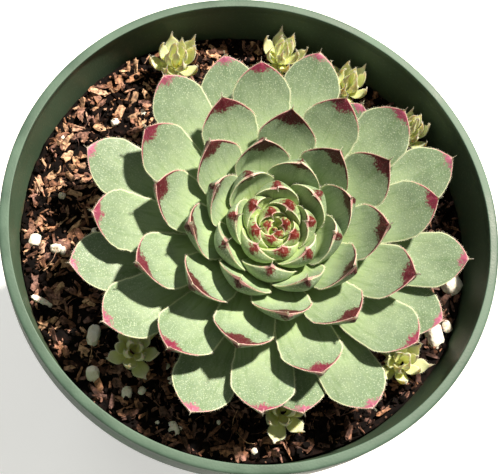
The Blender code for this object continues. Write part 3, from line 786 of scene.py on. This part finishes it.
def fleshyLeaf(line, azimuth, centre, halfWidth, thickness, mucro, age, rows, columns, seed, wrap, ground):
    # s runs along the leaf and t round its section. The centre line is a quadratic curve in (r, z), with a
    # hooked point past the tip; across = cos t carries the half width round the plant's axis as an angle,
    # and sin t lifts the face off the line along its normal: one third above it and two thirds below
    rng = np.random.default_rng(seed)
    start, middle, tip = line
    chord = np.linalg.norm(tip - start)
    length = 0.5 * (np.linalg.norm(middle - start) + np.linalg.norm(tip - middle) + chord)
    over = mucro / length
    low, high = rosette["broadest"]
    broadest = min(high, max(low, 1.0 - rosette["pointLength"] * halfWidth / chord))
    q = np.linspace(0.0, 1.0, rows)[:, None]
    s = (1.0 + over) * (1.0 - (1.0 - q) ** 1.7)
    t = np.linspace(0.0, fullTurn, columns, endpoint=False)[None, :]
    k = np.clip(s, 0.0, 1.0)
    radial, height = ((1 - k) ** 2 * start[i] + 2 * k * (1 - k) * middle[i] + k ** 2 * tip[i] for i in (0, 1))
    slopeR, slopeZ = (2 * (1 - k) * (middle[i] - start[i]) + 2 * k * (tip[i] - middle[i]) for i in (0, 1))
    speed = np.hypot(slopeR, slopeZ)
    aheadR, aheadZ = slopeR / speed, slopeZ / speed
    past = np.clip(s - 1.0, 0.0, None) * length
    radial, height = radial + past * aheadR, height + past * aheadZ
    # the tip turns up by a square of the way past where the curl begins
    peak, spread = rosette["curlPeak"]
    curl = rosette["curl"] + rosette["curlMiddle"] * math.exp(-((age - peak) / spread) ** 2)
    curl = (curl + rosette["curlOld"] * float(smoothStep(age, 32.0, 50.0))) * min(1.0, length / (18.0 * mm))
    curlFrom = rosette["curlFrom"]
    lift = curl * np.clip((s - curlFrom) / (1.0 - curlFrom), 0.0, None) ** 2
    # the half width is the root of three squares: the outline, the hooked point and a hair's breadth
    hollow, hollowReach = rosette["tipHollow"]
    drawn = 1.0 - hollow * np.exp(-np.clip(1.0 - s, 0.0, None) * length / hollowReach)
    blade = halfWidth * bladeOutline(k, broadest, age) * drawn * (s <= 1.0)
    hook = 0.32 * mucro * np.clip((1.0 + over - s) / (over + 0.1), 0.0, 1.0)
    half = np.sqrt(blade ** 2 + hook ** 2 + (0.01 * mm) ** 2)
    full = 0.55 + 0.45 * np.sin(0.5 * math.pi * np.clip(s / broadest, 0.0, 1.0)) ** 2
    thick = np.minimum(thickness * full * (1.0 - 0.45 * k ** 6), 1.3 * half)
    across = np.cos(t)
    edge = np.abs(np.sin(t)) ** 1.5 * np.sign(np.sin(t))
    keel = 1.0 + 0.35 * (1.0 - np.abs(across)) * k ** 2
    offset = thick * np.where(edge > 0.0, 0.33 * edge, 0.67 * edge * keel)
    # a faint midrib, raised margins, a slight roll, and waves of two sizes
    ridge = 0.16 * mm * np.exp(-(across / 0.16) ** 2) * smoothStep(s, 0.62, 0.95) * (edge > 0.0)
    roll = rng.uniform(-0.3, 0.3) * mm * across * k
    trough = rosette["trough"] * min(1.0, halfWidth / (5.0 * mm)) * across ** 2 * smoothStep(s, 0.3, 0.8)
    sideways = across * halfWidth + 40 * mm
    wave = 0.13 * mm * latticeNoise(s * length + seed * 7.3 * mm, sideways, 4.2 * mm, 51)
    fine = 0.035 * mm * latticeNoise(s * length + seed * 3.1 * mm, sideways, 1.3 * mm, 52)
    offset = offset + ridge + roll + trough + (wave + fine) * np.minimum(1.0, half / (2 * mm)) + lift
    r, z = radial - aheadZ * offset, height + aheadR * offset
    sway = math.radians(rng.uniform(-1.6, 1.6)) * k ** 2
    ragged = 1.0 + 0.02 * latticeNoise(s * length, seed * 11.0 * mm + 0.0 * s, 0.9 * mm, 53)
    turn = azimuth + sway + across * np.minimum(half * ragged / np.maximum(radial, 1e-6), wrap)
    points = np.stack([centre[0] + r * np.cos(turn), centre[1] + r * np.sin(turn), ground + z], -1)
    return {"points": points, "along": s, "across": across, "face": 0.5 + 0.5 * np.sign(edge + 1e-9),
            "age": age / rosette["leaves"], "seed": (seed * 0.377) % 1.0,
            "tip": (1.0 - s) * length / mm, "half": half / mm}


leafFields = ("along", "across", "face", "age", "seed", "tip", "half")
# age as a share of the oldest, and how far the red reaches from the tip in units of 10 mm
redReach = [(0.0, 0.16), (0.1, 0.24), (0.2, 0.27), (0.3, 0.33), (0.42, 0.42), (0.58, 0.41), (0.72, 0.29),
            (0.86, 0.22), (1.0, 0.20)]
redTones = [(0.0, "#6b1713"), (0.2, "#5a0c12"), (0.34, "#3c060f"), (0.6, "#4c081a"), (0.74, "#7d2342"),
            (0.9, "#a25874")]
matureSkin = {"base": "#a1b66a", "middle": "#9bb184", "outer": "#9fae98",
              "red": 0.97, "glow": 0.15, "frost": 0.72}
# young leaves are paler by nature; these colours are also painted paler still, with less frost, as painted
# light so that offsets standing in shade look sunlit
youngSkin = {"base": "#ebee9c", "middle": "#e6efae", "outer": "#f1f5cf",
             "red": 0.12, "glow": 0.4, "frost": 0.2}


def leafFlesh(name, skin):
    # houseleek leaf, living: water-filled flesh under a waxy skin with a bloom of very fine hairs; it gives
    # a soft satin light, a little glow inside, a yellow-green foot, red pigment at the tip and a pale rim
    glow, frost = skin["glow"], skin["frost"]
    material, tree, shader = newMaterial(name, {
        "IOR": 1.38, "Specular IOR Level": 0.38, "Subsurface Weight": glow,
        "Subsurface Radius": (1.0, 0.75, 0.3), "Subsurface Scale": (0.8 + 2.0 * glow) * mm,
        "Sheen Weight": 0.01, "Sheen Roughness": 0.5, "Sheen Tint": "#e8f2dc"})
    where = addNode(tree, "TexCoord", {}, "Object")
    along, across, face, age, seed, tip, half = (
        addNode(tree, "Attribute", {"attribute_name": field}, "Fac") for field in leafFields)
    cloud = addNode(tree, "TexNoise", {"Scale": 330.0, "Detail": 4.0, "Vector": where})     # 3 mm clouds
    dust = addNode(tree, "TexNoise", {"Scale": 2100.0, "Detail": 3.0, "Vector": where})     # 0.5 mm dust

    # body colour along the leaf, moved a little by the clouds, and yellower towards the heart
    drift = addNode(tree, "Math", {"operation": "MULTIPLY_ADD", 0: cloud, 1: 0.34, 2: -0.17})
    place = addNode(tree, "Math", {"operation": "ADD", 0: along, 1: drift})
    body = addNode(tree, "ValToRGB", {
        "stops": [(0.1, skin["base"]), (0.48, skin["middle"]), (0.88, skin["outer"])], "Fac": place})
    heart = addNode(tree, "MapRange", {0: age, 1: 0.02, 2: 0.3, 3: 0.75, 4: 0.0})
    body = addNode(tree, "Mix", {"Factor": heart, "A": body, "B": "#b9cc6c"})
    # lengthwise veins: noise that is narrow across and long along, a new one for every leaf
    wide = addNode(tree, "Math", {"operation": "MULTIPLY", 0: across, 1: half})
    lengthwise = addNode(tree, "Math", {"operation": "MULTIPLY", 0: tip, 1: 0.12})
    veinPlace = addNode(tree, "CombineXYZ", {"X": wide, "Y": seed, "Z": lengthwise})
    vein = addNode(tree, "TexNoise", {"Scale": 1.6, "Detail": 3.0, "Vector": veinPlace})
    veinMask = addNode(tree, "MapRange", {0: vein, 1: 0.5, 2: 0.72, 3: 0.0, 4: 0.58 * frost})
    veined = addNode(tree, "Mix", {"Factor": veinMask, "A": body, "B": "#5c7d3a"})
    # bloom: pale fine hairs seen as specks 0.35 mm apart, thickest on the outer half, over greyer skin
    outside = addNode(tree, "MapRange", {0: place, 1: 0.48, 2: 0.88, 3: 0.08, 4: 1.0})
    darker = addNode(tree, "Math", {"operation": "MULTIPLY", 0: outside, 1: frost})
    frosted = addNode(tree, "Mix", {"Factor": darker, "A": veined, "B": "#5a7452"})
    speck = addNode(tree, "TexVoronoi", {"Scale": 2900.0, "Vector": where})
    speckShape = addNode(tree, "MapRange", {0: speck, 1: 0.14, 2: 0.42, 3: 0.6, 4: 0.0})
    patchy = addNode(tree, "MapRange", {0: dust, 1: 0.35, 2: 0.62, 3: 0.25, 4: 1.0})
    speckHere = addNode(tree, "Math", {"operation": "MULTIPLY", 0: speckShape, 1: outside})
    speckMask = addNode(tree, "Math", {"operation": "MULTIPLY", 0: speckHere, 1: patchy})

    # red pigment, in mm: a patch where reach - tip distance - 0.38 of the distance from the midrib is above
    # zero, and a run down both margins where reach * runShare - tip distance - 4 * margin distance is
    fromRib = addNode(tree, "Math", {"operation": "ABSOLUTE", 0: wide})
    fromEdge = addNode(tree, "Math", {"operation": "SUBTRACT", 0: half, 1: fromRib})
    reachByAge = addNode(tree, "FloatCurve", {"Value": age})
    mapping = reachByAge.node.mapping
    for point, place in zip(mapping.curves[0].points, (redReach[0], redReach[-1])):
        point.location = place
    for place in redReach[1:-1]:
        mapping.curves[0].points.new(*place)
    mapping.update()
    # the back of a leaf is red over a smaller patch, but for the leaves of the heart
    backReach = addNode(tree, "MapRange", {0: age, 1: 0.14, 2: 0.32, 3: 8.0, 4: 4.2})
    fullReach = addNode(tree, "MapRange", {0: face, 3: backReach, 4: 10.0})
    reach = addNode(tree, "Math", {"operation": "MULTIPLY", 0: reachByAge, 1: fullReach})
    patchEdge = addNode(tree, "Math", {"operation": "MULTIPLY_ADD", 0: fromRib, 1: 0.38, 2: tip})
    patch = addNode(tree, "Math", {"operation": "SUBTRACT", 0: reach, 1: patchEdge})
    runShare = addNode(tree, "MapRange", {0: age, 1: 0.22, 2: 0.42, 3: 0.55, 4: 1.55})
    runReach = addNode(tree, "Math", {"operation": "MULTIPLY", 0: reach, 1: runShare})
    runEdge = addNode(tree, "Math", {"operation": "MULTIPLY_ADD", 0: fromEdge, 1: 4.0, 2: tip})
    run = addNode(tree, "Math", {"operation": "SUBTRACT", 0: runReach, 1: runEdge})
    larger = addNode(tree, "Math", {"operation": "MAXIMUM", 0: patch, 1: run})
    # its edge is broken up by the dust and the clouds
    dusty = addNode(tree, "Math", {"operation": "MULTIPLY_ADD", 0: dust, 1: 0.36, 2: -0.18})
    cloudy = addNode(tree, "Math", {"operation": "MULTIPLY_ADD", 0: cloud, 1: 0.16, 2: -0.08})
    within = addNode(tree, "Math", {"operation": "MULTIPLY_ADD", 0: larger, 1: 0.1, 2: dusty})
    within = addNode(tree, "Math", {"operation": "ADD", 0: within, 1: cloudy})
    redMask = addNode(tree, "MapRange", {0: within, 1: -0.01, 2: 0.07, 3: 0.0, 4: skin["red"]})
    red = addNode(tree, "ValToRGB", {"stops": redTones, "Fac": age})
    reddened = addNode(tree, "Mix", {"Factor": redMask, "A": frosted, "B": red})

    # the fine hairs hardly show over the red
    notRed = addNode(tree, "MapRange", {0: redMask, 3: 1.0, 4: 0.18})
    speckLeft = addNode(tree, "Math", {"operation": "MULTIPLY", 0: speckMask, 1: notRed})
    specked = addNode(tree, "Mix", {"Factor": speckLeft, "A": reddened, "B": "#d5e0c8"})
    # the margin is a line 0.1 to 0.24 mm wide, cream but pink beside the red, and the hooked point is whitish
    marginWidth = addNode(tree, "MapRange", {0: age, 1: 0.1, 2: 0.5, 3: 0.1, 4: 0.24})
    marginShare = addNode(tree, "Math", {"operation": "DIVIDE", 0: marginWidth, 1: half})
    side = addNode(tree, "Math", {"operation": "ABSOLUTE", 0: across})
    marginReach = addNode(tree, "Math", {"operation": "ADD", 0: side, 1: marginShare})
    marginMask = addNode(tree, "MapRange", {0: marginReach, 1: 0.985, 2: 1.02, 3: 0.0, 4: 0.75})
    marginTone = addNode(tree, "Mix", {"Factor": redMask, "A": "#d6deb8", "B": "#cf9c9c"})
    rimmed = addNode(tree, "Mix", {"Factor": marginMask, "A": specked, "B": marginTone})
    tipMask = addNode(tree, "MapRange", {0: along, 1: 0.985, 2: 1.005, 3: 0.0, 4: 0.9})
    pointed = addNode(tree, "Mix", {"Factor": tipMask, "A": rimmed, "B": "#dccabc"})
    rough = addNode(tree, "MapRange", {0: dust, 1: 0.3, 2: 0.7, 3: 0.32, 4: 0.5})
    relief = addNode(tree, "Math", {"operation": "MULTIPLY_ADD", 0: speck, 1: -0.6, 2: dust})
    bump = addNode(tree, "Bump", {"Strength": 0.3, "Distance": 0.1 * mm, "Height": relief})
    joinShader(tree, shader, {"Base Color": pointed, "Roughness": rough, "Normal": bump})
    return material


matureFlesh = leafFlesh("houseleek leaf", matureSkin)


def rosetteLeaf(age, rows, columns):
    azimuth, line = leafLine(age)
    half = 0.5 * rosette["width"] * (1.0 - math.exp(-(age + 2.0) / rosette["widthAge"]))
    thick = rosette["thickness"] * min(1.1, 0.62 + age / 30.0)
    mucro = rosette["mucro"] * min(1.0, 0.35 + age / 24.0)
    return fleshyLeaf(line, azimuth, (plantX, plantY), half, thick, mucro, age, rows, columns, age,
                      rosette["widestWrap"], soil["level"])


def growingPoint():
    # the newest leaves, still one pointed dome: its radius is the root of 1 - share^2, low to high
    share = np.linspace(0.0, 0.98, 14)[:, None]
    low, high = (soil["level"] + rosette["collar"] + rosette["stemRise"] + up for up in rosette["pointSpan"])
    radius = rosette["pointRadius"] * np.sqrt(1.0 - share ** 2)
    profile = np.concatenate([radius, low + (high - low) * share], 1)
    return {"points": turnedGrid(profile, 16, plantX, plantY), "along": 0.2 + 0.3 * share, "across": 0.0,
            "face": 1.0, "age": 0.02, "seed": 0.4, "tip": 4.0 - 2.8 * share, "half": 3.0}


leafGrids = {}
for age in range(1, rosette["leaves"] + 1):
    leafGrids[age] = rosetteLeaf(age, rosette["rows"], rosette["columns"])
for age in range(rosette["budLeaves"] + 1, rosette["leaves"] + 1):
    leaf = surfacePiece(f"leaf{age}", [leafGrids[age]], matureFlesh, leafFields)
    finishPiece(leaf, "leaf_flesh", f"leaf_{age:02d}")
budGrids = [leafGrids[age] for age in range(1, rosette["budLeaves"] + 1)] + [growingPoint()]
bud = surfacePiece("crownLeaves", budGrids, matureFlesh, leafFields)
finishPiece(bud, "leaf_flesh", "crown_bud")
print("rosette ready")


hairs = {
    "spacing": 0.34 * mm,
    "length": (0.24 * mm, 0.5 * mm),
    "thickness": 0.05 * mm,
    "from": 0.35,                # share of the leaf's length where they begin
}


def hairSkin():
    # margin hairs: stiff, glassy and nearly white, so they light up at the rim of a leaf
    material, tree, shader = newMaterial("glassy hair", {"Roughness": 0.4, "IOR": 1.45})
    tint = addNode(tree, "Attribute", {"attribute_name": "tint"}, "Fac")
    tone = addNode(tree, "ValToRGB", {
        "stops": [(0.0, "#cfd2a6"), (0.6, "#ecebd2"), (1.0, "#fbf6ea")], "Fac": tint})
    joinShader(tree, shader, {"Base Color": tone})
    return material


def marginHairs(grids, name, settings, slot):
    # slim three-sided spikes along both margins: roots are evenly spaced by arc length, and each points
    # straight out from the middle of the leaf's section, swept a little towards the tip
    rng = np.random.default_rng(61)
    roots, ways = [], []
    for grid in grids:
        columns = grid["points"].shape[1]
        for column, other in ((0, columns // 2), (columns // 2, 0)):
            line = grid["points"][:, column]
            outward = line - grid["points"][:, other]
            steps = np.linalg.norm(np.diff(line, axis=0), axis=1)
            arc = np.concatenate([[0.0], np.cumsum(steps)])
            count = int(arc[-1] * (1.0 - settings["from"]) / settings["spacing"])
            at = np.linspace(settings["from"], 0.995, max(count, 2)) * arc[-1]
            pick = lambda values: np.stack([np.interp(at, arc, values[:, i]) for i in range(3)], -1)
            ahead = pick(np.gradient(line, arc + 1e-9 * np.arange(len(arc)), axis=0))
            out = pick(outward)
            out /= np.linalg.norm(out, axis=1, keepdims=True) + 1e-12
            roots.append(pick(line))
            ways.append(out + 0.45 * ahead)
    roots, ways = np.concatenate(roots), np.concatenate(ways)
    ways += rng.normal(0.0, 0.22, ways.shape)
    ways /= np.linalg.norm(ways, axis=1, keepdims=True)
    low, high = settings["length"]
    length = rng.uniform(low, high, (len(roots), 1))
    aside = np.cross(ways, np.array([0.13, 0.21, 0.97]))
    aside /= np.linalg.norm(aside, axis=1, keepdims=True)
    other = np.cross(ways, aside)
    corners = []
    for angle in np.radians((0.0, 120.0, 240.0)):
        spoke = math.cos(angle) * aside + math.sin(angle) * other
        corners.append(roots - ways * 0.1 * mm + settings["thickness"] * spoke)
    points = np.stack(corners + [roots + ways * length], 1)
    base = np.array([(0, 2, 1), (0, 1, 3), (1, 2, 3), (2, 0, 3)])
    faces = (base[None] + 4 * np.arange(len(roots))[:, None, None]).reshape(-1, 3).tolist()
    tint = np.repeat(rng.uniform(0.0, 1.0, len(roots)), 4)
    piece = meshPiece(name, points.reshape(-1, 3), faces, hairSkin(), {"tint": tint})
    finishPiece(piece, slot)


marginHairs(list(leafGrids.values()), "leafFringe", hairs, "leaf_flesh")
print("margin hairs ready")


offsets = {
    # x, y from the pot's axis, radius, height, in mm
    "places": [(-17.2, 38.0, 5.6, 8.4), (6.6, 41.5, 5.5, 8.4), (21.8, 35.8, 5.4, 8.4), (35.3, 24.9, 4.7, 9.5),
               (31.1, -27.1, 5.2, 5.8), (6.6, -37.3, 6.0, 5.6), (-23.6, -26.0, 5.5, 5.9)],
    "turn": 40.0,                # degrees from one offset's first leaf to the next one's
    "leaves": 13,
    "leafWidth": 0.29,           # half width as a share of the radius
    "leafThickness": 0.8 * mm,
    "mucro": 1.7 * mm,
    "stretch": 1.14,             # how far the leaf tips stand out past the plain form
    "standing": 0.4 * mm,        # gap between an offset and the soil
    "runnerRadius": 0.8 * mm,
    "runnerHeight": 1.4 * mm,
    "runnerGap": 1.2 * mm,
    "hairs": {"spacing": 0.38 * mm, "length": (0.2 * mm, 0.42 * mm), "thickness": 0.04 * mm, "from": 0.3},
}


def runnerGrid(x, y, ground):
    # a tapering tube on a quadratic curve over the soil, from the offset to just short of the stem
    back = np.array([plantX - x, plantY - y])
    distance = np.linalg.norm(back)
    back /= distance
    side, up = np.array([-back[1], back[0], 0.0]), np.array([0.0, 0.0, 1.0])
    start = np.array([x, y, ground + offsets["runnerHeight"]])
    reach = distance - rosette["stemRadius"] - offsets["runnerGap"]
    end = np.array([x + back[0] * reach, y + back[1] * reach, soil["level"] + offsets["runnerHeight"]])
    t = np.linspace(0.0, 1.0, 26)[:, None, None]
    angle = np.linspace(0.0, fullTurn, 12, endpoint=False)[None, :, None]
    bend = 4.0 * t * (1.0 - t) * (0.6 * mm * side + 0.25 * mm * up)
    knot = 1.0 + 0.14 * np.sin(9.0 * math.pi * t) ** 8
    thick = offsets["runnerRadius"] * (1.0 - 0.2 * t) * knot
    points = start + (end - start) * t + bend + thick * (np.cos(angle) * side + np.sin(angle) * up)
    along = t[:, :, 0]
    return {"points": points[:, ::-1], "along": 0.1 + 0.2 * along, "across": 0.0, "face": 1.0, "age": 0.3,
            "seed": 0.5, "tip": 30.0 * along, "half": 0.8}


def offsetGrids(number, place):
    # young leaves in the same spiral, upright in the middle and flatter and longer round it
    x, y, radius, height = np.array(place) * mm
    radius, height = radius * offsets["stretch"], height * offsets["stretch"]
    ground = soil["level"] + max(0.0, float(heapRise(x, y))) + offsets["standing"]
    grids = []
    for k in range(1, offsets["leaves"] + 1):
        grown = k / offsets["leaves"]
        azimuth = math.radians(offsets["turn"] * number - goldenAngle * k)
        reach = radius * (0.10 + 0.92 * grown ** 0.8)
        tip = height * (1.0 - 0.5 * grown ** 1.3)
        start = (0.10 * radius + 0.12 * radius * grown, height * (0.34 - 0.18 * grown))
        middle = (start[0] + 0.62 * (reach - start[0]), start[1] + 0.34 * (tip - start[1]))
        half = offsets["leafWidth"] * radius * (0.55 + 0.45 * grown)
        grids.append(fleshyLeaf(np.array([start, middle, (reach, tip)]), azimuth, (x, y), half,
                                offsets["leafThickness"], offsets["mucro"], 24 + 8 * grown, 20, 14,
                                200 * number + k, 1.0, ground))
    return grids, ground


youngFlesh = leafFlesh("young houseleek leaf", youngSkin)
offsetHairGrids = []
for number, place in enumerate(offsets["places"], start=1):
    grids, ground = offsetGrids(number, place)
    runner = runnerGrid(place[0] * mm, place[1] * mm, ground)
    tuft = surfacePiece(f"offset{number}", grids + [runner], youngFlesh, leafFields)
    finishPiece(tuft, "young_leaf", f"offset_{number}")
    offsetHairGrids += grids
marginHairs(offsetHairGrids, "offsetFringe", offsets["hairs"], "young_leaf")
print("offsets ready")


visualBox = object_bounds()
({"cad": [list(corner) for corner in cadBox],
           "visual": [list(corner) for corner in visualBox]})
